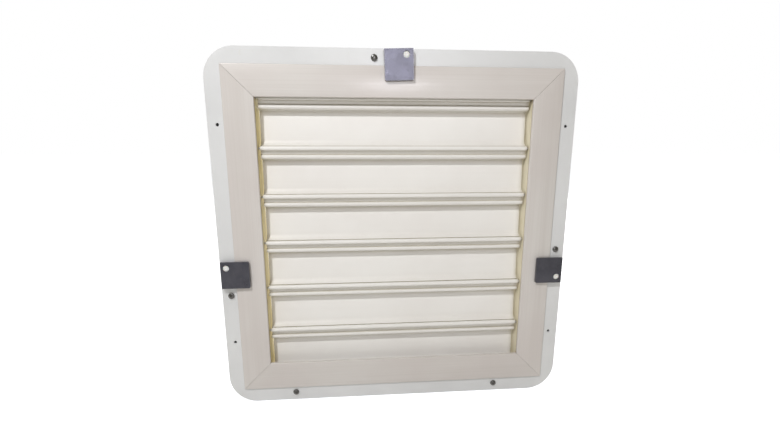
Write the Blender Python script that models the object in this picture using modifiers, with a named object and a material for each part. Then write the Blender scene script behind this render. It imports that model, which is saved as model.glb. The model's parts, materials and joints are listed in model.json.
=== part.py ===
"""Louvred roof vent cover: a square flange plate, a mitred rail frame, six coupled louvre blades and three turn clips.

World frame: +X right, +Z up, and the visible face looks along -Y. The origin is the centre of the cut-out,
on the plane of the gasket's back face, which is the surface that the cover is screwed to.
"""

import math

import bmesh
import bpy
from mathutils import Matrix, Vector

MM = 0.001
GAP = 0.3 * MM                        # clearance left between touching pieces

# Levels along Y, from the mounting plane: negative is towards the viewer.
GASKET_FRONT = -2.7 * MM
FLANGE_BACK = -3.0 * MM
FLANGE_FRONT = -5.5 * MM
RAIL_FACE = -8.0 * MM
CLIP_BACK = -9.4 * MM
CLIP_FRONT = -12.4 * MM
COLLAR_RIM = 55.0 * MM

# Square outlines, as half sizes from the centre.
FLANGE_HALF = 235.0 * MM
FLANGE_CORNER = 38.0 * MM
RAIL_OUTER = 215.0 * MM
RAIL_INNER = 177.0 * MM
COLLAR_OUTER = 198.0 * MM
COLLAR_INNER = 196.4 * MM
GASKET_OUTER = 231.5 * MM
RAIL_SKIN = 1.6 * MM
FACE_SKIN = 2.0 * MM
INNER_LIP = 4.5 * MM
RIM_RETURN = 7.0 * MM

# Louvre blades.
BLADE_COUNT = 6
BLADE_PITCH = 61.6 * MM
TOP_PIVOT_Z = 177.2 * MM
PIVOT_Y = 2.3 * MM
BLADE_HALF_LENGTH = 174.4 * MM
BLADE_SKIN = 1.2 * MM
ROLL_RADIUS = 2.9 * MM
ROLL_BORE = 1.5 * MM
RIB_RADIUS = 3.1 * MM
RIB_DROP = 10.2 * MM
RIB_DEPTH = 3.2 * MM
ROD_RADIUS = 1.25 * MM
ROD_HALF_LENGTH = 183.5 * MM

# Side bearing strips and the linkage inside the right one.
STRIP_FACE = 176.6 * MM
STRIP_SKIN = 1.8 * MM
STRIP_FRONT = -3.2 * MM
STRIP_BACK = 24.0 * MM
STRIP_HALF_HEIGHT = 194.0 * MM
BEARING_RADIUS = 1.6 * MM
CRANK_RADIUS = 12.0 * MM
CRANK_ANGLE = math.radians(-30)
CRANK_NEAR = 180.2 * MM
CRANK_SKIN = 2.0 * MM
STUD_RADIUS = 1.6 * MM
STUD_TAIL = 1.3 * MM                  # how far a stud stands past the bar
STUD_ROOM = 0.25 * MM                 # how much wider than a stud its hole is all round
BAR_NEAR = 182.6 * MM
BAR_SKIN = 2.0 * MM
BAR_HALF_WIDTH = 3.5 * MM

# Turn clips: each is drawn about its pivot, with "out" pointing away from the cover's centre.
CLIP_WIDTH = 36.0 * MM
CLIP_DEPTH = 37.0 * MM
CLIP_PIVOT_SIDE = 8.5 * MM
CLIP_PIVOT_EDGE = 7.0 * MM
CLIP_ROUND = 2.0 * MM
POCKET_RADIUS = 4.3 * MM
CLIP_FLOOR = 1.0 * MM
RIVET_HOLE = 2.3 * MM
CLIPS = {
    "top": (Vector((10.4 * MM, 0, 227.6 * MM)), 0, math.radians(2)),
    "left": (Vector((-225.8 * MM, 0, -37.6 * MM)), 90, 0),
    "right": (Vector((224.8 * MM, 0, -59.8 * MM)), -90, 0),
}

# Fixings of the flange.
SCREW_LINE = 223.0 * MM
SCREWS = {
    "top": (-29.0 * MM, 224.0 * MM),
    "left": (-SCREW_LINE, -77.0 * MM),
    "right": (SCREW_LINE, -21.5 * MM),
    "bottom_left": (-144.0 * MM, -SCREW_LINE),
    "bottom_right": (144.0 * MM, -SCREW_LINE),
}
SPARE_HOLES = [(x * SCREW_LINE, z * 144.0 * MM) for x in (-1, 1) for z in (-1, 1)]
SCREW_HOLE = 2.1 * MM
SCREW_SHANK = 1.8 * MM
SCREW_LENGTH = 18.0 * MM

ROUND_STEPS = 24
ARC_ERROR = 0.04 * MM                 # most that a faceted arc may stray from the true one
WIDEST_ARC_STEP = math.radians(22.5)
FACING = Matrix.Rotation(math.pi / 2, 4, "X")            # outline x, y, z to world X, Z, -Y
ALONG_X = Matrix(((0, 0, 1, 0), (1, 0, 0, 0), (0, 1, 0, 0), (0, 0, 0, 1)))   # outline x, y, z to world Y, Z, X

COLOURS = {
    "flange_white": ((0.86, 0.87, 0.87), 0.42, 0.0),
    "rail_beige": ((0.72, 0.69, 0.66), 0.38, 0.0),
    "blade_white": ((0.86, 0.85, 0.82), 0.35, 0.0),
    "strip_cream": ((0.72, 0.64, 0.42), 0.5, 0.0),
    "clip_grey": ((0.07, 0.065, 0.075), 0.42, 0.0),
    "screw_black": ((0.02, 0.02, 0.02), 0.3, 0.6),
    "rivet_white": ((0.85, 0.85, 0.84), 0.35, 0.0),
    "steel": ((0.55, 0.55, 0.56), 0.3, 1.0),
    "aluminium": ((0.7, 0.7, 0.71), 0.35, 1.0),
    "gasket_foam": ((0.03, 0.03, 0.032), 0.9, 0.0),
}


def collection(name):
    """Makes a collection in the scene."""
    made = bpy.data.collections.new(name)
    bpy.context.scene.collection.children.link(made)
    return made


def material(name):
    """A Principled material of one of the finishes above."""
    made = bpy.data.materials.get(name)
    if made is None:
        colour, roughness, metallic = COLOURS[name]
        made = bpy.data.materials.new(name)
        made.use_nodes = True
        shader = made.node_tree.nodes["Principled BSDF"]
        shader.inputs["Base Color"].default_value = (*colour, 1.0)
        shader.inputs["Roughness"].default_value = roughness
        shader.inputs["Metallic"].default_value = metallic
        made.diffuse_color = (*colour, 1.0)
    return made


def add(name, mesh, finish, matrix=Matrix.Identity(4), group=None):
    """Adds one named solid at a place, in the part's collection unless another is given."""
    made = bpy.data.objects.new(name, mesh)
    made.matrix_world = matrix
    (group or PARTS).objects.link(made)
    if finish and not mesh.materials:
        mesh.materials.append(material(finish))
    return made


def arc(centre, radius, start, end):
    """Points on an arc from one angle to another, both in degrees."""
    first, last = math.radians(start), math.radians(end)
    step = min(WIDEST_ARC_STEP, 2 * math.acos(1 - ARC_ERROR / radius))
    count = max(2, math.ceil(abs(last - first) / step) + 1)
    angles = [first + (last - first) * i / (count - 1) for i in range(count)]
    return [(centre[0] + radius * math.cos(a), centre[1] + radius * math.sin(a)) for a in angles]


def circle(x, y, radius):
    """A round hole's outline."""
    turns = [2 * math.pi * i / ROUND_STEPS for i in range(ROUND_STEPS)]
    return [(x + radius * math.cos(a), y + radius * math.sin(a)) for a in turns]


def square(half):
    """A square outline about the origin."""
    return [(half, half), (-half, half), (-half, -half), (half, -half)]


def rounded_box(x0, x1, y0, y1, radii):
    """A rectangle with its own radius at each corner: top right, top left, bottom left, bottom right."""
    corners = [(x1, y1, -1, -1), (x0, y1, 1, -1), (x0, y0, 1, 1), (x1, y0, -1, 1)]
    points = []
    for quarter, ((x, y, sx, sy), radius) in enumerate(zip(corners, radii)):
        points += arc((x + sx * radius, y + sy * radius), radius, quarter * 90, quarter * 90 + 90)
    return points


def extruded(name, loops, length):
    """A closed mesh: a flat outline with holes, thickened evenly about its plane."""
    curve = bpy.data.curves.new(name, "CURVE")
    curve.dimensions = "2D"
    curve.fill_mode = "BOTH"
    curve.extrude = length / 2
    for loop in loops:
        spline = curve.splines.new("POLY")
        spline.points.add(len(loop) - 1)
        spline.use_cyclic_u = True
        for point, (x, y) in zip(spline.points, loop):
            point.co = (x, y, 0, 1)
    holder = bpy.data.objects.new(name, curve)
    PARTS.objects.link(holder)
    view = bpy.context.evaluated_depsgraph_get()
    mesh = bpy.data.meshes.new_from_object(holder.evaluated_get(view))
    bpy.data.objects.remove(holder)
    bpy.data.curves.remove(curve)
    shell = bmesh.new()
    shell.from_mesh(mesh)
    bmesh.ops.remove_doubles(shell, verts=shell.verts, dist=1e-6)
    bmesh.ops.recalc_face_normals(shell, faces=shell.faces)
    shell.to_mesh(mesh)
    shell.free()
    mesh.materials.clear()
    return mesh


def cylinder(radius, start, end, places=((0, 0),)):
    """A mesh of round bars along Z from start to end, one at each place."""
    shell = bmesh.new()
    for x, y in places:
        spot = Matrix.Translation((x, y, (start + end) / 2))
        bmesh.ops.create_cone(
            shell, cap_ends=True, segments=ROUND_STEPS, radius1=radius, radius2=radius,
            depth=end - start, matrix=spot,
        )
    mesh = bpy.data.meshes.new("cylinder")
    shell.to_mesh(mesh)
    shell.free()
    return mesh


def turned(name, profile, finish, matrix, closed=False):
    """A turned solid: a profile of (radius, height) points, top to bottom, spun round its own Z."""
    edges = [(i, i + 1) for i in range(len(profile) - 1)]
    if closed:
        edges.append((len(profile) - 1, 0))
    mesh = bpy.data.meshes.new(name)
    mesh.from_pydata([(r, 0, h) for r, h in profile], edges, [])
    made = add(name, mesh, finish, matrix)
    spin = made.modifiers.new("spin", "SCREW")
    spin.steps = ROUND_STEPS
    spin.render_steps = ROUND_STEPS
    spin.use_merge_vertices = True
    spin.merge_threshold = 1e-6
    return made


def combine(target, tool_mesh, matrix, operation):
    """Cuts a solid with, or joins it to, another shape, by an exact Boolean."""
    tool = add(target.name + "_" + operation.lower(), tool_mesh, None, matrix, CUTTERS)
    tool.hide_render = True
    tool.display_type = "WIRE"
    step = target.modifiers.new(operation.lower(), "BOOLEAN")
    step.operation = operation
    step.object = tool


def pivot_height(number):
    """Height of a blade's pivot, counted from 1 at the top."""
    return TOP_PIVOT_Z - (number - 1) * BLADE_PITCH


def build_flange():
    """The flange plate with its fixing holes, and the foam gasket behind it, which covers the spare holes."""
    screw_holes = [circle(x, z, SCREW_HOLE) for x, z in SCREWS.values()]
    spare_holes = [circle(x, z, SCREW_HOLE) for x, z in SPARE_HOLES]
    rivet_holes = [circle(p.x, p.z, RIVET_HOLE) for p, _, _ in CLIPS.values()]
    outer = rounded_box(-FLANGE_HALF, FLANGE_HALF, -FLANGE_HALF, FLANGE_HALF, [FLANGE_CORNER] * 4)
    loops = [outer, square(COLLAR_OUTER + GAP), *screw_holes, *spare_holes, *rivet_holes]
    middle = Matrix.Translation((0, (FLANGE_FRONT + FLANGE_BACK) / 2, 0))
    plate = extruded("flange_plate", loops, FLANGE_BACK - FLANGE_FRONT)
    add("flange_plate", plate, "flange_white", middle @ FACING)

    inset = FLANGE_HALF - GASKET_OUTER
    ring = rounded_box(-GASKET_OUTER, GASKET_OUTER, -GASKET_OUTER, GASKET_OUTER, [FLANGE_CORNER - inset] * 4)
    tail_room, collar_room = 4.2 * MM, 1.2 * MM
    pockets = [circle(p.x, p.z, tail_room) for p, _, _ in CLIPS.values()]
    loops = [ring, square(COLLAR_OUTER + collar_room), *screw_holes, *pockets]
    middle = Matrix.Translation((0, GASKET_FRONT / 2, 0))
    foam = extruded("flange_gasket", loops, -GASKET_FRONT)
    add("flange_gasket", foam, "gasket_foam", middle @ FACING)


def rail_section():
    """Section of a frame rail as (depth, distance from the centre) points: a face, two lips and a deep leg."""
    lip_end = RAIL_FACE + INNER_LIP
    foot = FLANGE_FRONT - GAP
    back = RAIL_FACE + FACE_SKIN
    nose = 1.2 * MM
    edge = 0.8 * MM
    return [
        (foot, RAIL_OUTER),
        *arc((RAIL_FACE + edge, RAIL_OUTER - edge), edge, 90, 180),
        *arc((RAIL_FACE + nose, RAIL_INNER + nose), nose, 180, 270),
        (lip_end, RAIL_INNER),
        (lip_end, RAIL_INNER + RAIL_SKIN),
        (back, RAIL_INNER + RAIL_SKIN),
        (back, COLLAR_INNER),
        (COLLAR_RIM - RAIL_SKIN, COLLAR_INNER),
        (COLLAR_RIM - RAIL_SKIN, COLLAR_INNER - RIM_RETURN),
        (COLLAR_RIM, COLLAR_INNER - RIM_RETURN),
        (COLLAR_RIM, COLLAR_OUTER),
        (back, COLLAR_OUTER),
        (back, RAIL_OUTER - RAIL_SKIN),
        (foot, RAIL_OUTER - RAIL_SKIN),
    ]


def build_rails():
    """Four rails mitred at the corners, and the keys that join them."""
    rail = extruded("frame_rail", [rail_section()], 2 * RAIL_OUTER)
    for vertex in rail.vertices:
        reach = vertex.co.y - GAP / 2                     # the mitre: length follows the distance from the centre
        vertex.co.z = math.copysign(reach, vertex.co.z)
    inner, outer, arm = 180.5 * MM, 194.0 * MM, 158.0 * MM
    corner = [(inner, inner), (inner, arm), (outer, arm), (outer, outer), (arm, outer), (arm, inner)]
    key_skin = 2.0 * MM
    key = extruded("corner_key", [corner], key_skin)
    key_level = RAIL_FACE + FACE_SKIN + GAP + key_skin / 2
    names = ["top", "left", "bottom", "right"]
    corners = ["top_right", "top_left", "bottom_left", "bottom_right"]
    for turn, (side, place) in enumerate(zip(names, corners)):
        spin = Matrix.Rotation(math.radians(-90 * turn), 4, "Y")
        add("frame_rail_" + side, rail, "rail_beige", spin @ ALONG_X)
        add("corner_key_" + place, key, "aluminium", spin @ Matrix.Translation((0, key_level, 0)) @ FACING)


def build_bearing_strips():
    """The two plastic strips that carry the blade rods, each a channel open towards the collar."""
    reach = COLLAR_INNER - GAP
    inside = STRIP_FACE + STRIP_SKIN
    section = [
        (STRIP_FACE, STRIP_FRONT), (reach, STRIP_FRONT), (reach, STRIP_FRONT + STRIP_SKIN),
        (inside, STRIP_FRONT + STRIP_SKIN), (inside, STRIP_BACK - STRIP_SKIN),
        (reach, STRIP_BACK - STRIP_SKIN), (reach, STRIP_BACK), (STRIP_FACE, STRIP_BACK),
    ]
    holes = [(pivot_height(n + 1), PIVOT_Y) for n in range(BLADE_COUNT)]
    for side, sign in (("left", -1), ("right", 1)):
        mirrored = [(sign * x, y) for x, y in section]
        strip = add(
            "bearing_strip_" + side,
            extruded("bearing_strip_" + side, [mirrored], 2 * STRIP_HALF_HEIGHT), "strip_cream",
        )
        middle = sign * (STRIP_FACE + STRIP_SKIN / 2)
        across = Matrix.Translation((middle, 0, 0)) @ ALONG_X
        drills = cylinder(BEARING_RADIUS, -2 * STRIP_SKIN, 2 * STRIP_SKIN, [(y, z) for z, y in holes])
        combine(strip, drills, across, "DIFFERENCE")


def build_stop_strips():
    """The strip that closes the gap over the top blade, and the one that the bottom blade shuts against."""
    head_depth, sill_depth = 5.0 * MM, 3.9 * MM
    roll_room = 0.7 * MM
    front = PIVOT_Y - ROLL_RADIUS
    reach = COLLAR_INNER - GAP
    half = STRIP_FACE - GAP
    above = pivot_height(1) + ROLL_RADIUS + roll_room
    head = [(front, above), (front + head_depth, above), (front + head_depth, reach), (front, reach)]
    add("head_strip", extruded("head_strip", [head], 2 * half), "blade_white", ALONG_X)
    below = pivot_height(BLADE_COUNT + 1) + ROLL_RADIUS
    back = front + sill_depth
    sill = [(front, below), (back, below), (back, -reach), (front, -reach)]
    add("sill_strip", extruded("sill_strip", [sill], 2 * half), "blade_white", ALONG_X)


def blade_section():
    """Section of a blade as (depth, height) points from its pivot: a split roll round the rod, a rib, a step
    back to the flat face, and a foot that curves forward over the next blade's roll."""
    rib = (RIB_DEPTH, -RIB_DROP)
    rib_inside = RIB_RADIUS - BLADE_SKIN
    neck_front, neck_back = 2.0 * MM, 3.3 * MM
    face_top, face_foot = 10.7 * MM, 9.0 * MM
    step, bend, foot = -13.6 * MM, 1.6 * MM, -50.0 * MM
    sweep = 8.3 * MM
    sweep_centre = (face_foot - sweep, foot)
    return [
        *arc((0, 0), ROLL_RADIUS, 60, 292),
        (neck_front, rib[1] + RIB_RADIUS),
        *arc(rib, RIB_RADIUS, 105, 265),
        (face_top - bend, step),
        (face_top, step - bend),
        *arc(sweep_centre, sweep, 0, -80),
        *arc(sweep_centre, sweep + BLADE_SKIN, -80, 0),
        (face_top + BLADE_SKIN, step - bend),
        (face_top + BLADE_SKIN, step + BLADE_SKIN / 2),
        (face_top, step + BLADE_SKIN),
        *arc(rib, rib_inside, 270, 90),
        (neck_back, rib[1] + RIB_RADIUS - BLADE_SKIN / 2),
        *arc((0, 0), ROLL_RADIUS, -25, 30),
        *arc((0, 0), ROLL_BORE, 30, -300),
    ]


def crank_pin():
    """Place of a crank's stud from its blade's pivot, as (depth, height), with the blade shut."""
    return CRANK_RADIUS * math.cos(CRANK_ANGLE), CRANK_RADIUS * math.sin(CRANK_ANGLE)


def crank_mesh():
    """The flat lever on a rod's end, about the pivot, without its stud."""
    hub, tip = 3.3 * MM, 3.0 * MM
    lean = math.degrees(CRANK_ANGLE)
    outline = arc((0, 0), hub, lean + 90, lean + 270) + arc(crank_pin(), tip, lean - 90, lean + 90)
    return extruded("crank", [outline, circle(0, 0, ROLL_BORE)], CRANK_SKIN)


def build_blades():
    """Six identical blades, each with its rod and its crank."""
    blade = extruded("louvre_blade", [blade_section()], 2 * BLADE_HALF_LENGTH)
    rod = cylinder(ROD_RADIUS, -ROD_HALF_LENGTH, ROD_HALF_LENGTH)
    crank = crank_mesh()
    depth, height = crank_pin()
    stud_start = CRANK_SKIN / 4
    stud_end = BAR_NEAR + BAR_SKIN + STUD_TAIL - CRANK_NEAR - CRANK_SKIN / 2
    stud = cylinder(STUD_RADIUS, stud_start, stud_end)
    for number in range(1, BLADE_COUNT + 1):
        pivot = Matrix.Translation((0, PIVOT_Y, pivot_height(number)))
        add(f"louvre_blade_{number}", blade, "blade_white", pivot @ ALONG_X)
        add(f"pivot_rod_{number}", rod, "steel", pivot @ ALONG_X)
        plane = pivot @ Matrix.Translation((CRANK_NEAR + CRANK_SKIN / 2, 0, 0)) @ ALONG_X
        lever = add(f"blade_crank_{number}", crank, "rivet_white", plane)
        spot = plane @ Matrix.Translation((depth, height, 0))
        combine(lever, stud, spot, "UNION")


def build_tie_bar():
    """The flat bar that joins all six cranks, inside the right bearing strip."""
    depth, drop = crank_pin()
    top = pivot_height(1) + drop
    bottom = pivot_height(BLADE_COUNT) + drop
    spare, end_round = 5.0 * MM, 3.0 * MM
    centre = PIVOT_Y + depth
    outline = rounded_box(
        centre - BAR_HALF_WIDTH, centre + BAR_HALF_WIDTH, bottom - spare, top + spare, [end_round] * 4
    )
    heights = [pivot_height(n) + drop for n in range(1, BLADE_COUNT + 1)]
    holes = [circle(centre, height, STUD_RADIUS + STUD_ROOM) for height in heights]
    plane = Matrix.Translation((BAR_NEAR + BAR_SKIN / 2, 0, 0)) @ ALONG_X
    add("tie_bar", extruded("tie_bar", [outline, *holes], BAR_SKIN), "aluminium", plane)


def build_clips():
    """Three turn clips, each with a spacer under it and a rivet that it turns on."""
    left, right = CLIP_PIVOT_SIDE - CLIP_WIDTH, CLIP_PIVOT_SIDE
    inner, outer = CLIP_PIVOT_EDGE - CLIP_DEPTH, CLIP_PIVOT_EDGE
    sharp = 0.6 * MM
    outline = rounded_box(left, right, inner, outer, [sharp, sharp, CLIP_ROUND, CLIP_ROUND])
    plate = extruded("turn_clip", [outline, circle(0, 0, RIVET_HOLE)], CLIP_BACK - CLIP_FRONT)
    pocket = cylinder(POCKET_RADIUS, CLIP_FLOOR - (CLIP_BACK - CLIP_FRONT) / 2, CLIP_BACK - CLIP_FRONT)
    shank, head, tail = 2.0 * MM, 4.0 * MM, 3.7 * MM
    floor = -CLIP_BACK + CLIP_FLOOR + GAP
    rim, crest, dimple, dished = floor + 0.45 * MM, floor + 0.9 * MM, 1.3 * MM, 0.9 * MM
    tail_end = 1.4 * MM
    rivet = [
        (0, rim), (dished, rim), (dimple, crest), (head - 0.8 * MM, crest), (head, rim), (head, floor),
        (shank, floor), (shank, -GASKET_FRONT), (tail, -GASKET_FRONT), (tail, tail_end), (0, tail_end),
    ]
    low, high = -FLANGE_FRONT + GAP, -CLIP_BACK - GAP
    collar = 4.5 * MM
    spacer = [(RIVET_HOLE, high), (collar, high), (collar, low), (RIVET_HOLE, low)]
    for side, (place, turn, ajar) in CLIPS.items():
        spot = Matrix.Translation(place)
        swing = Matrix.Rotation(math.radians(-turn) - ajar, 4, "Y")
        middle = Matrix.Translation((0, (CLIP_BACK + CLIP_FRONT) / 2, 0))
        clip = add("turn_clip_" + side, plate, "clip_grey", spot @ swing @ middle @ FACING)
        combine(clip, pocket, clip.matrix_world.copy(), "DIFFERENCE")
        turned("clip_rivet_" + side, rivet, "rivet_white", spot @ FACING)
        turned("clip_spacer_" + side, spacer, "rivet_white", spot @ FACING, closed=True)


def build_screws():
    """Five pan-head screws through the flange."""
    seat = -FLANGE_FRONT + GAP
    head, brim, dome = 4.1 * MM, 0.91 * MM, 1.69 * MM
    bevels = [math.radians(d) for d in (0, 22, 44, 66, 90)]
    crown = [(head * math.sin(a), seat + brim + dome * math.cos(a)) for a in bevels]
    point = seat - SCREW_LENGTH
    taper = 3.0 * MM
    profile = [*crown, (head, seat), (SCREW_SHANK, seat), (SCREW_SHANK, point + taper), (0, point)]
    for place, (x, z) in SCREWS.items():
        turned("flange_screw_" + place, profile, "screw_black", Matrix.Translation((x, 0, z)) @ FACING)


for leftover in list(bpy.data.objects):
    bpy.data.objects.remove(leftover)
PARTS = collection("roof_vent_cover")
CUTTERS = collection("cutters")
build_flange()
build_rails()
build_bearing_strips()
build_stop_strips()
build_blades()
build_tie_bar()
build_clips()
build_screws()
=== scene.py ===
"""Looks of the louvred roof vent cover: finishes, detailed screws, floor, lights and camera."""

import json
import math

import bmesh
import bpy
from mathutils import Matrix, Vector

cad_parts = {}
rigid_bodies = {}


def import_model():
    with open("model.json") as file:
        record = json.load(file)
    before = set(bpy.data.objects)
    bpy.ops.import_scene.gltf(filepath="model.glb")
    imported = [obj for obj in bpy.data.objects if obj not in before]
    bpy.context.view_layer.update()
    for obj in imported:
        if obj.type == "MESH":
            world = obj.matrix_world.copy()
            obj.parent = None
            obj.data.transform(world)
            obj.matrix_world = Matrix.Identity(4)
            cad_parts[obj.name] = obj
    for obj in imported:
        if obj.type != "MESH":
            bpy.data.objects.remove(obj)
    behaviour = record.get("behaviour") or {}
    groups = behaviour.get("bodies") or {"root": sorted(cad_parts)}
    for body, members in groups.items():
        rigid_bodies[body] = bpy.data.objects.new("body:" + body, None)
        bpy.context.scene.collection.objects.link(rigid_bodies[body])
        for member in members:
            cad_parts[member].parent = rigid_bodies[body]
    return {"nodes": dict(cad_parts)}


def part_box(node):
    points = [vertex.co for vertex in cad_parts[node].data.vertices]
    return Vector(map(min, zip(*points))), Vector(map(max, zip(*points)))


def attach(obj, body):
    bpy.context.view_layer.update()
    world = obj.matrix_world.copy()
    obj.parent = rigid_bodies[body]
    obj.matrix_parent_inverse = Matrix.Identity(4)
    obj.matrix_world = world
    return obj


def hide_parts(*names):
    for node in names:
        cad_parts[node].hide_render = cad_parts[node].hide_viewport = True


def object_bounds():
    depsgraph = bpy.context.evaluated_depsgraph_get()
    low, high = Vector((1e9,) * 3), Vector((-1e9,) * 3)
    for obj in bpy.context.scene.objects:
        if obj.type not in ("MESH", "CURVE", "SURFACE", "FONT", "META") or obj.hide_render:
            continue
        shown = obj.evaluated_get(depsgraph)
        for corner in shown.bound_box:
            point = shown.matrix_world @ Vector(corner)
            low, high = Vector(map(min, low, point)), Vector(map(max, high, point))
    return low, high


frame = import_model()
CAD_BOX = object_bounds()
NODES = frame["nodes"]
BODY_OF = {name: node.parent.name.split(":")[1] for name, node in NODES.items()}
MM = 0.001

WELD_DISTANCE = 0.001 * MM
FLAT_WITHIN = math.radians(0.5)       # faces that agree this closely are one flat
SHARP_BEYOND = math.radians(32)       # edges that turn further than this are shaded sharp
SCREW_SHARP_BEYOND = math.radians(38)  # the same, on the screws
BREAK_BEYOND = math.radians(40)       # edges that turn further than this are broken by a bevel

# The screws: a No. 8 pan head with a cross recess and a coarse thread.
HEAD_HEIGHT = 2.6 * MM
NECK_RADIUS = 1.7 * MM
ROOT_RADIUS = 1.25 * MM
THREAD_CREST = 0.5 * MM
THREAD_PITCH = 1.3 * MM
POINT_LENGTH = 3.4 * MM
RECESS_WIDTH = 0.85 * MM
RECESS_REACH = 2.1 * MM
RECESS_DEPTH = 1.5 * MM

# How far painted shade reaches out of the blades' joints and the strips' corners.
SHADE_REACH_BLADE = 8 * MM
SHADE_REACH_STRIP = 6 * MM


# ---------- node helpers ----------

class Finish:
    """A Principled material and short calls that build its texture nodes in the object's own metres."""

    def __init__(self, name, **sockets):
        self.material = bpy.data.materials.new(name)
        self.material.use_nodes = True
        self.nodes = self.material.node_tree.nodes
        self.links = self.material.node_tree.links
        self.shader = self.nodes["Principled BSDF"]
        for socket, value in sockets.items():
            self.shader.inputs[socket.replace("_", " ")].default_value = value
        self.place = self.nodes.new("ShaderNodeTexCoord").outputs["Object"]
        self.height = None

    def node(self, kind, **settings):
        """Adds a shader node with its settings."""
        made = self.nodes.new(kind)
        for key, value in settings.items():
            setattr(made, key, value)
        return made

    def noise(self, scale, detail=3.0, rough=0.5, stretch=(1, 1, 1)):
        """Noise with its scale in features per metre, stretched along the axes whose factor is small."""
        spread = self.node("ShaderNodeMapping")
        spread.inputs["Scale"].default_value = stretch
        self.links.new(self.place, spread.inputs["Vector"])
        noise = self.node("ShaderNodeTexNoise")
        noise.inputs["Scale"].default_value = scale
        noise.inputs["Detail"].default_value = detail
        noise.inputs["Roughness"].default_value = rough
        self.links.new(spread.outputs["Vector"], noise.inputs["Vector"])
        return noise.outputs["Fac"]

    def ramp(self, source, low, high, out_low=0.0, out_high=1.0):
        """Maps a range of the source to another range, clamped."""
        made = self.node("ShaderNodeMapRange")
        limits = {"From Min": low, "From Max": high, "To Min": out_low, "To Max": out_high}
        for socket, value in limits.items():
            made.inputs[socket].default_value = value
        self.links.new(source, made.inputs["Value"])
        return made.outputs["Result"]

    def mix(self, amount, first, second):
        """Mixes two colours, each given as a colour or as another node's output."""
        made = self.node("ShaderNodeMix", data_type="RGBA")  # its colours: inputs 6 and 7, output 2
        self.links.new(amount, made.inputs["Factor"])
        for socket, value in ((made.inputs[6], first), (made.inputs[7], second)):
            if isinstance(value, bpy.types.NodeSocket):
                self.links.new(value, socket)
            else:
                socket.default_value = (*value, 1.0)
        return made.outputs[2]

    def edges(self, radius, low, high):
        """1 along the sharp edges, 0 on the flats."""
        rounded = self.node("ShaderNodeBevel", samples=6)
        rounded.inputs["Radius"].default_value = radius
        flat = self.node("ShaderNodeNewGeometry")
        agree = self.node("ShaderNodeVectorMath", operation="DOT_PRODUCT")
        self.links.new(rounded.outputs["Normal"], agree.inputs[0])
        self.links.new(flat.outputs["Normal"], agree.inputs[1])
        return self.ramp(agree.outputs["Value"], high, low)

    def crevice_shade(self, reach, low, high):
        """1 deep in the corners, 0 in the open: a mask for painted shade where shadow gathers in creases."""
        open_sky = self.node("ShaderNodeAmbientOcclusion", samples=8)
        open_sky.inputs["Distance"].default_value = reach
        return self.ramp(open_sky.outputs["AO"], high, low)

    def colour(self, source):
        """Takes the base colour from a node's output."""
        self.links.new(source, self.shader.inputs["Base Color"])

    def roughness(self, source, low, high):
        """Lets the roughness follow a noise, between two values."""
        self.links.new(self.ramp(source, 0.3, 0.7, low, high), self.shader.inputs["Roughness"])

    def bump(self, source, depth, strength=1.0):
        """Adds relief, its depth in metres."""
        made = self.node("ShaderNodeBump")
        made.inputs["Strength"].default_value = strength
        made.inputs["Distance"].default_value = depth
        self.links.new(source, made.inputs["Height"])
        if self.height:
            self.links.new(self.height, made.inputs["Normal"])
        self.height = made.outputs["Normal"]
        self.links.new(self.height, self.shader.inputs["Normal"])


def along(axis, ratio=0.002):
    """Stretch factors that draw a texture out along one axis."""
    return tuple(ratio if i == axis else 1.0 for i in range(3))


# ---------- finishes ----------

def painted_plate():
    """White powder coat: fine orange peel, faint cloudy tone and a little dust."""
    made = Finish("painted_plate", Roughness=0.4, Coat_Weight=0.25, Coat_Roughness=0.22)
    cloud = made.noise(9, 4)
    dust = made.noise(140, 5, 0.65)
    base = made.mix(made.ramp(cloud, 0.35, 0.65), (0.705, 0.71, 0.725), (0.765, 0.77, 0.785))
    made.colour(made.mix(made.ramp(dust, 0.62, 0.78, 0, 0.5), base, (0.70, 0.695, 0.67)))
    made.roughness(cloud, 0.34, 0.48)
    made.bump(made.noise(900, 2), 0.06 * MM, 0.5)
    made.bump(cloud, 0.8 * MM, 0.25)
    return made.material


def drawn_rail(name, axis):
    """Warm white rail with faint lines drawn out along its length."""
    made = Finish(name, Roughness=0.33, Coat_Weight=0.3, Coat_Roughness=0.16)
    lines = made.noise(700, 3, 0.6, along(axis, 0.006))
    broad = made.noise(90, 3, 0.5, along(axis, 0.03))
    cloud = made.noise(7, 3)
    base = made.mix(made.ramp(cloud, 0.35, 0.65), (0.665, 0.618, 0.60), (0.715, 0.685, 0.665))
    base = made.mix(made.ramp(broad, 0.35, 0.7, 0, 0.45), base, (0.63, 0.585, 0.565))
    made.colour(made.mix(made.ramp(lines, 0.45, 0.75, 0, 0.35), base, (0.60, 0.56, 0.53)))
    made.roughness(lines, 0.30, 0.42)
    made.bump(lines, 0.05 * MM, 0.6)
    made.bump(made.noise(35, 2, 0.5, along(axis, 0.1)), 0.1 * MM, 0.3)
    return made.material


def moulded_blade():
    """Warm white satin blade, with fine lines along it, specks, and painted shade along its joints."""
    made = Finish("moulded_blade", Roughness=0.5, Coat_Weight=0.1, Coat_Roughness=0.3)
    lines = made.noise(900, 2, 0.5, along(0))
    cloud = made.noise(8, 4, 0.55)
    speck = made.noise(260, 4, 0.7)
    base = made.mix(made.ramp(cloud, 0.35, 0.65), (0.85, 0.825, 0.805), (0.885, 0.868, 0.85))
    base = made.mix(made.ramp(speck, 0.66, 0.8, 0, 0.35), base, (0.70, 0.66, 0.56))
    base = made.mix(made.ramp(lines, 0.5, 0.8, 0, 0.12), base, (0.76, 0.74, 0.70))
    # Painted shade: olive darkening of the joints, undercuts and the face below each rib, where shadow
    # falls.
    made.colour(made.mix(made.crevice_shade(SHADE_REACH_BLADE, 0.3, 0.95), base, (0.34, 0.29, 0.18)))
    made.roughness(lines, 0.45, 0.55)
    made.bump(lines, 0.01 * MM, 0.15)
    return made.material


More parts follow.
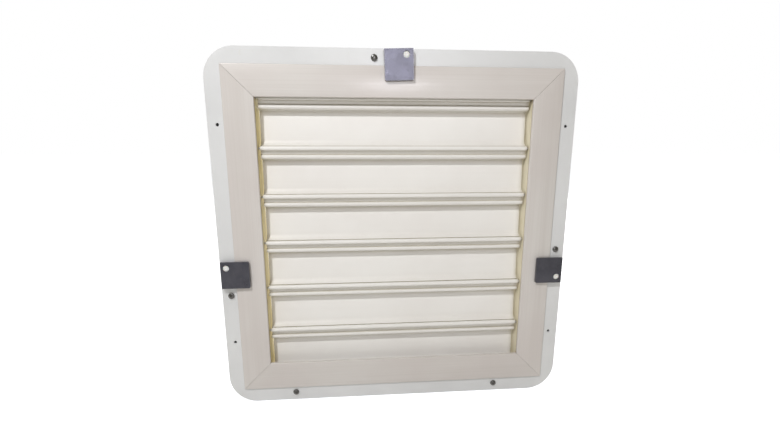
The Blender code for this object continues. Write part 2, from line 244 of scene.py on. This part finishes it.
def aged_strip(name, deep, pale, stain_and_shade):
    """Plastic that has yellowed unevenly, with brown stains and painted shade in its corners."""
    made = Finish(name, Roughness=0.45, Coat_Weight=0.15, Coat_Roughness=0.25)
    cloud = made.noise(14, 5, 0.6, (1, 1, 0.35))
    stain = made.noise(60, 4, 0.6, (1, 1, 0.3))
    base = made.mix(made.ramp(cloud, 0.35, 0.65), deep, pale)
    # Brown stains; their amount is raised where the strip also stands in painted shade.
    base = made.mix(made.ramp(stain, 0.50, 0.76, 0, stain_and_shade), base, (0.46, 0.33, 0.15))
    # Painted shade: darker brown in the strip's corners, where shadow falls.
    made.colour(made.mix(made.crevice_shade(SHADE_REACH_STRIP, 0.25, 0.8), base, (0.34, 0.25, 0.12)))
    made.roughness(stain, 0.38, 0.55)
    made.bump(made.noise(600, 2, 0.5, along(2, 0.02)), 0.05 * MM, 0.5)
    return made.material


def clip_metal():
    """Dull grey plated clip with a fine grain, rubbed paler along its edges."""
    made = Finish("clip_metal", Roughness=0.3, Metallic=0.85)
    grain = made.noise(1600, 3, 0.6)
    cloud = made.noise(55, 4, 0.6)
    scuff = made.noise(420, 4, 0.7, (1, 1, 0.25))
    base = made.mix(made.ramp(cloud, 0.35, 0.65), (0.085, 0.085, 0.105), (0.115, 0.115, 0.14))
    base = made.mix(made.ramp(scuff, 0.6, 0.8, 0, 0.5), base, (0.19, 0.185, 0.20))
    made.colour(made.mix(made.edges(0.6 * MM, 0.9, 0.995), base, (0.24, 0.235, 0.25)))
    made.roughness(cloud, 0.26, 0.36)
    made.bump(grain, 0.05 * MM, 0.4)
    return made.material


def black_screw():
    """Black plated steel, worn to metal on its edges."""
    made = Finish("black_screw", Roughness=0.3, Metallic=0.85, Coat_Weight=1.0, Coat_Roughness=0.2)
    cloud = made.noise(700, 3)
    base = made.mix(made.ramp(cloud, 0.35, 0.65), (0.09, 0.088, 0.086), (0.18, 0.175, 0.17))
    made.colour(made.mix(made.edges(0.3 * MM, 0.8, 0.98), base, (0.22, 0.20, 0.18)))
    made.roughness(cloud, 0.26, 0.4)
    made.bump(cloud, 0.03 * MM, 0.5)
    return made.material


def white_nylon(name):
    """Slightly translucent white plastic with a moulding grain."""
    made = Finish(name, Roughness=0.38, Subsurface_Weight=0.08, Subsurface_Scale=2 * MM)
    cloud = made.noise(120, 4)
    made.colour(made.mix(made.ramp(cloud, 0.35, 0.65), (0.78, 0.78, 0.76), (0.86, 0.86, 0.85)))
    made.roughness(cloud, 0.3, 0.46)
    made.bump(made.noise(1400, 2), 0.04 * MM, 0.5)
    return made.material


def mill_metal(name, axis, tone, rough):
    """Drawn or rolled bare metal, brushed along one axis."""
    made = Finish(name, Metallic=1.0, Roughness=rough)
    lines = made.noise(1500, 4, 0.6, along(axis, 0.008))
    cloud = made.noise(40, 4)
    dark = tuple(c * 0.72 for c in tone)
    base = made.mix(made.ramp(cloud, 0.35, 0.7), tone, tuple(c * 0.88 for c in tone))
    made.colour(made.mix(made.ramp(lines, 0.5, 0.8, 0, 0.5), base, dark))
    made.roughness(lines, rough - 0.08, rough + 0.12)
    made.bump(lines, 0.03 * MM, 0.6)
    return made.material


def cell_foam():
    """Black closed-cell foam with a pitted skin."""
    made = Finish("cell_foam", Roughness=0.9, Sheen_Weight=0.25, Sheen_Roughness=0.6)
    cells = made.node("ShaderNodeTexVoronoi", feature="DISTANCE_TO_EDGE")
    cells.inputs["Scale"].default_value = 950
    made.links.new(made.place, cells.inputs["Vector"])
    pits = made.ramp(cells.outputs["Distance"], 0.0, 0.25)
    made.colour(made.mix(pits, (0.016, 0.016, 0.017), (0.045, 0.045, 0.047)))
    made.roughness(made.noise(80, 3), 0.82, 0.96)
    made.bump(pits, 0.3 * MM, 0.7)
    return made.material


# ---------- pieces ----------

def dress(prefix, finish, bevel=0.0, segments=2, plain_faces=True):
    """Stands a welded, smooth-shaded copy in for each CAD node of a name, with its finish and, where asked,
    softly broken edges. Plain faces are first freed of the lines between their triangles."""
    for name, node in NODES.items():
        if not name.startswith(prefix):
            continue
        shell = bmesh.new()
        shell.from_mesh(node.data)
        bmesh.ops.remove_doubles(shell, verts=shell.verts, dist=WELD_DISTANCE)
        if plain_faces:
            bmesh.ops.dissolve_limit(
                shell, angle_limit=FLAT_WITHIN, verts=shell.verts, edges=shell.edges, delimit={"NORMAL"}
            )
        for edge in shell.edges:
            edge.smooth = len(edge.link_faces) == 2 and edge.calc_face_angle(0) < SHARP_BEYOND
        piece = new_mesh("fine_" + name, shell)
        if "custom_normal" in piece.data.attributes:
            piece.data.attributes.remove(piece.data.attributes["custom_normal"])
        piece.data.materials.clear()
        piece.data.materials.append(finish)
        if bevel:
            edge = piece.modifiers.new("broken_edges", "BEVEL")
            edge.width = bevel
            edge.segments = segments
            edge.limit_method = "ANGLE"
            edge.angle_limit = BREAK_BEYOND
            edge.use_clamp_overlap = True
        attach(piece, BODY_OF[name])
        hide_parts(name)


def new_mesh(name, shell, smooth=True):
    """Closes a bmesh into a mesh object in the scene."""
    mesh = bpy.data.meshes.new(name)
    bmesh.ops.recalc_face_normals(shell, faces=shell.faces)
    for face in shell.faces:
        face.smooth = smooth
    shell.to_mesh(mesh)
    shell.free()
    made = bpy.data.objects.new(name, mesh)
    bpy.context.scene.collection.objects.link(made)
    return made


def spun(shell, profile, steps=48):
    """Adds a turned shape: (radius, height) points from the axis round to the axis, about Z."""
    rings = []
    for radius, height in profile:
        if radius == 0:
            rings.append([shell.verts.new((0, 0, height))])
        else:
            turns = [2 * math.pi * i / steps for i in range(steps)]
            ring = [(radius * math.cos(a), radius * math.sin(a), height) for a in turns]
            rings.append([shell.verts.new(point) for point in ring])
    for first, second in zip(rings, rings[1:]):
        for i in range(steps):
            j = (i + 1) % steps
            corners = [ring[k % len(ring)] for ring, k in ((first, i), (first, j), (second, j), (second, i))]
            shell.faces.new(list(dict.fromkeys(corners)))


def cross_cutter(width, reach, deep):
    """The tapered cross that cuts a screw's recess, its top at height 0."""
    above = 1.0 * MM
    levels = ((above, reach * 1.15, width / 2), (-deep, reach * 0.45, width / 2 * 0.7))
    shell = bmesh.new()
    for turned in (False, True):
        ends = []
        for level, long, short in levels:
            x, y = (short, long) if turned else (long, short)
            corners = [(-x, -y), (x, -y), (x, y), (-x, y)]
            ends.append([shell.verts.new((*corner, level)) for corner in corners])
        top, bottom = ends
        shell.faces.new(top)
        shell.faces.new(bottom[::-1])
        for i in range(4):
            j = (i + 1) % 4
            shell.faces.new((top[j], top[i], bottom[i], bottom[j]))
    return new_mesh("recess_cutter", shell, smooth=False)


def thread(shell, radius, crest, start, end, pitch, steps=16):
    """Adds a helical ridge from one height down to another. It rises over its first turn, fades over its
    last two, and closes in on the point."""
    count = int((start - end) / pitch * steps)
    sunk, half_foot = 0.1 * MM, 0.27 * pitch
    previous = None
    for i in range(count + 1):
        angle = 2 * math.pi * i / steps
        height = start - pitch * i / steps
        grow = min(1.0, (count - i) / (2 * steps), (i + 1) / steps)
        bottom = min(1.0, 0.25 + (height - end) / (4 * MM))
        here = []
        for out, lift in ((-sunk, half_foot), (crest * grow, 0.0), (-sunk, -half_foot)):
            r = (radius + out) * bottom
            here.append(shell.verts.new((r * math.cos(angle), r * math.sin(angle), height + lift)))
        if previous:
            for k in range(3):
                n = (k + 1) % 3
                shell.faces.new((previous[k], previous[n], here[n], here[k]))
        else:
            shell.faces.new(here)
        previous = here
    shell.faces.new(previous[::-1])


def screw_profile(head, length):
    """Half outline of a screw about its axis, from the crown down to the point."""
    turns = [math.radians(d) for d in (0, 10, 20, 30, 42, 54, 66, 76, 84, 90)]
    crown = [(head * math.sin(a), HEAD_HEIGHT * (0.35 + 0.65 * math.cos(a))) for a in turns]
    brim = 0.12 * MM
    return [
        *crown, (head, brim), (head - brim, 0), (NECK_RADIUS, 0), (ROOT_RADIUS, -0.6 * MM),
        (ROOT_RADIUS, POINT_LENGTH - length), (0.35 * MM, 0.4 * MM - length), (0, -length),
    ]


def screw_mesh(head, length):
    """One pan-head screw about its axis, its head's seat at height 0 and its crown towards +Z."""
    shell = bmesh.new()
    spun(shell, screw_profile(head, length))
    blank = new_mesh("screw_blank", shell)
    recess = cross_cutter(RECESS_WIDTH, RECESS_REACH, RECESS_DEPTH)
    recess.matrix_world = Matrix.Translation((0, 0, HEAD_HEIGHT))
    cut = blank.modifiers.new("recess", "BOOLEAN")
    cut.operation = "DIFFERENCE"
    cut.object = recess
    cut.solver = "EXACT"
    cut.use_self = True
    view = bpy.context.evaluated_depsgraph_get()
    shell = bmesh.new()
    shell.from_mesh(bpy.data.meshes.new_from_object(blank.evaluated_get(view)))
    bpy.data.objects.remove(recess)
    bpy.data.objects.remove(blank)
    thread(shell, ROOT_RADIUS, THREAD_CREST, -0.8 * MM, 0.6 * MM - length, THREAD_PITCH)
    for edge in shell.edges:
        if len(edge.link_faces) == 2 and edge.calc_face_angle(0) > SCREW_SHARP_BEYOND:
            edge.smooth = False
    mesh = bpy.data.meshes.new("detailed_screw")
    shell.to_mesh(mesh)
    shell.free()
    for face in mesh.polygons:
        face.use_smooth = True
    mesh.materials.clear()
    return mesh


def build_screws(finish):
    """Stands a detailed screw in for each plain CAD screw, each turned its own way."""
    low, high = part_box("flange_screw_top")
    whole_length = high[1] - low[1]
    head = (high[0] - low[0]) / 2
    mesh = screw_mesh(head, whole_length - HEAD_HEIGHT)
    mesh.materials.append(finish)
    names = sorted(name for name in NODES if name.startswith("flange_screw_"))
    for number, name in enumerate(names):
        low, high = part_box(name)
        screw = bpy.data.objects.new(name.replace("flange", "detailed"), mesh)
        bpy.context.scene.collection.objects.link(screw)
        driven_to = math.radians(23 + 37 * number)
        facing = Matrix.Rotation(math.pi / 2, 4, "X") @ Matrix.Rotation(driven_to, 4, "Z")
        seat = Vector(((low[0] + high[0]) / 2, low[1] + HEAD_HEIGHT, (low[2] + high[2]) / 2))
        screw.matrix_world = Matrix.Translation(seat) @ facing
        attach(screw, "frame")
        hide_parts(name)


# ---------- stage ----------

def build_floor():
    """A wide pale floor just under the cover, lifted in the camera's eye so that it reads as white."""
    made = bpy.data.materials.new("pale_floor")
    made.use_nodes = True
    nodes, links = made.node_tree.nodes, made.node_tree.links
    shader = nodes["Principled BSDF"]
    shader.inputs["Base Color"].default_value = (0.92, 0.92, 0.92, 1.0)
    shader.inputs["Roughness"].default_value = 0.8
    shader.inputs["Emission Color"].default_value = (0.90, 0.93, 1.0, 1.0)
    seen = nodes.new("ShaderNodeLightPath")
    lift = nodes.new("ShaderNodeMath")
    lift.operation = "MULTIPLY"
    lift.inputs[1].default_value = 0.91
    links.new(seen.outputs["Is Camera Ray"], lift.inputs[0])
    links.new(lift.outputs["Value"], shader.inputs["Emission Strength"])
    ground = CAD_BOX[0][2] - 0.3 * MM
    reach, rows = 40.0, 8
    shell = bmesh.new()
    bmesh.ops.create_grid(shell, x_segments=rows, y_segments=rows, size=reach)
    for vertex in shell.verts:
        vertex.co.z = ground
    floor = new_mesh("floor", shell)
    floor.data.materials.append(made)


def area_light(name, place, target, size, power, colour):
    """A round soft light at a place, aimed at a target."""
    lamp = bpy.data.lights.new(name, "AREA")
    lamp.shape = "DISK"
    lamp.size = size
    lamp.energy = power
    lamp.color = colour
    made = bpy.data.objects.new(name, lamp)
    made.location = place
    made.rotation_euler = (Vector(target) - Vector(place)).to_track_quat("-Z", "Y").to_euler()
    bpy.context.scene.collection.objects.link(made)


def build_lights():
    """A close hard lamp above and to the left of the camera, a soft panel in front, a wide one behind,
    and warm room light. The camera itself sees plain white behind the cover."""
    area_light("key", (-0.50, -0.86, 0.96), (0, 0, 0), 0.07, 10.1, (0.97, 0.98, 0.99))
    area_light("sheen", (0.12, -1.25, 0.43), (0, 0, 0.2), 0.26, 2.5, (0.94, 0.93, 1.0))
    area_light("rear", (1.0, 2.5, 1.5), (0, 0, 0), 2.0, 60, (1.0, 0.98, 0.95))
    world = bpy.data.worlds.new("studio")
    bpy.context.scene.world = world
    world.use_nodes = True
    nodes, links = world.node_tree.nodes, world.node_tree.links
    room = nodes["Background"]
    room.inputs["Color"].default_value = (1.0, 0.93, 0.69, 1.0)
    room.inputs["Strength"].default_value = 0.21
    white = nodes.new("ShaderNodeBackground")
    white.inputs["Color"].default_value = (1.0, 1.0, 1.0, 1.0)
    seen = nodes.new("ShaderNodeLightPath")
    choice = nodes.new("ShaderNodeMixShader")
    links.new(seen.outputs["Is Camera Ray"], choice.inputs["Fac"])
    links.new(room.outputs["Background"], choice.inputs[1])
    links.new(white.outputs["Background"], choice.inputs[2])
    links.new(choice.outputs["Shader"], nodes["World Output"].inputs["Surface"])


def build_camera():
    """A wide lens close to the cover, looking slightly down at it from its left."""
    lens = bpy.data.cameras.new("camera")
    lens.sensor_width = 36.0
    lens.lens = 20.77
    lens.shift_y = 0.0449
    lens.clip_start = 0.01
    made = bpy.data.objects.new("camera", lens)
    made.location = (-0.0632, -0.5984, 0.1133)
    made.rotation_euler = (math.radians(76.9), 0, math.radians(-5.18))
    bpy.context.scene.collection.objects.link(made)
    bpy.context.scene.camera = made
    bpy.context.scene.view_settings.view_transform = "Standard"


build_camera()

dress("flange_plate", painted_plate(), plain_faces=False)
dress("flange_gasket", cell_foam(), plain_faces=False)
across, upright = drawn_rail("drawn_rail_across", 0), drawn_rail("drawn_rail_upright", 2)
for rail_side, rail_finish in (("top", across), ("bottom", across), ("left", upright), ("right", upright)):
    dress("frame_rail_" + rail_side, rail_finish, 0.25 * MM)

blade_finish = moulded_blade()
dress("louvre_blade_", blade_finish)
dress("head_strip", blade_finish, 0.3 * MM)
dress("sill_strip", blade_finish, 0.3 * MM)

# The left strip is darker and yellower than the right: partly stains, partly painted shade for the side that
# stands in shadow.
stained_and_shaded = aged_strip("stained_strip", (0.70, 0.56, 0.21), (0.78, 0.66, 0.31), 0.7)
dress("bearing_strip_left", stained_and_shaded, plain_faces=False)
cream = aged_strip("cream_strip", (0.76, 0.69, 0.50), (0.82, 0.77, 0.61), 0.25)
dress("bearing_strip_right", cream, plain_faces=False)

dress("turn_clip_", clip_metal(), 0.35 * MM, 3, plain_faces=False)
nylon = white_nylon("white_nylon")
for white_piece in ("clip_rivet_", "clip_spacer_", "blade_crank_"):
    dress(white_piece, nylon, plain_faces=False)
dress("pivot_rod_", mill_metal("drawn_steel", 0, (0.56, 0.56, 0.57), 0.3))
dress("tie_bar", mill_metal("rolled_bar", 2, (0.72, 0.72, 0.73), 0.34), 0.2 * MM, plain_faces=False)
dress("corner_key_", mill_metal("rolled_key", 0, (0.72, 0.72, 0.73), 0.36), 0.2 * MM)
build_screws(black_screw())

build_floor()
build_lights()
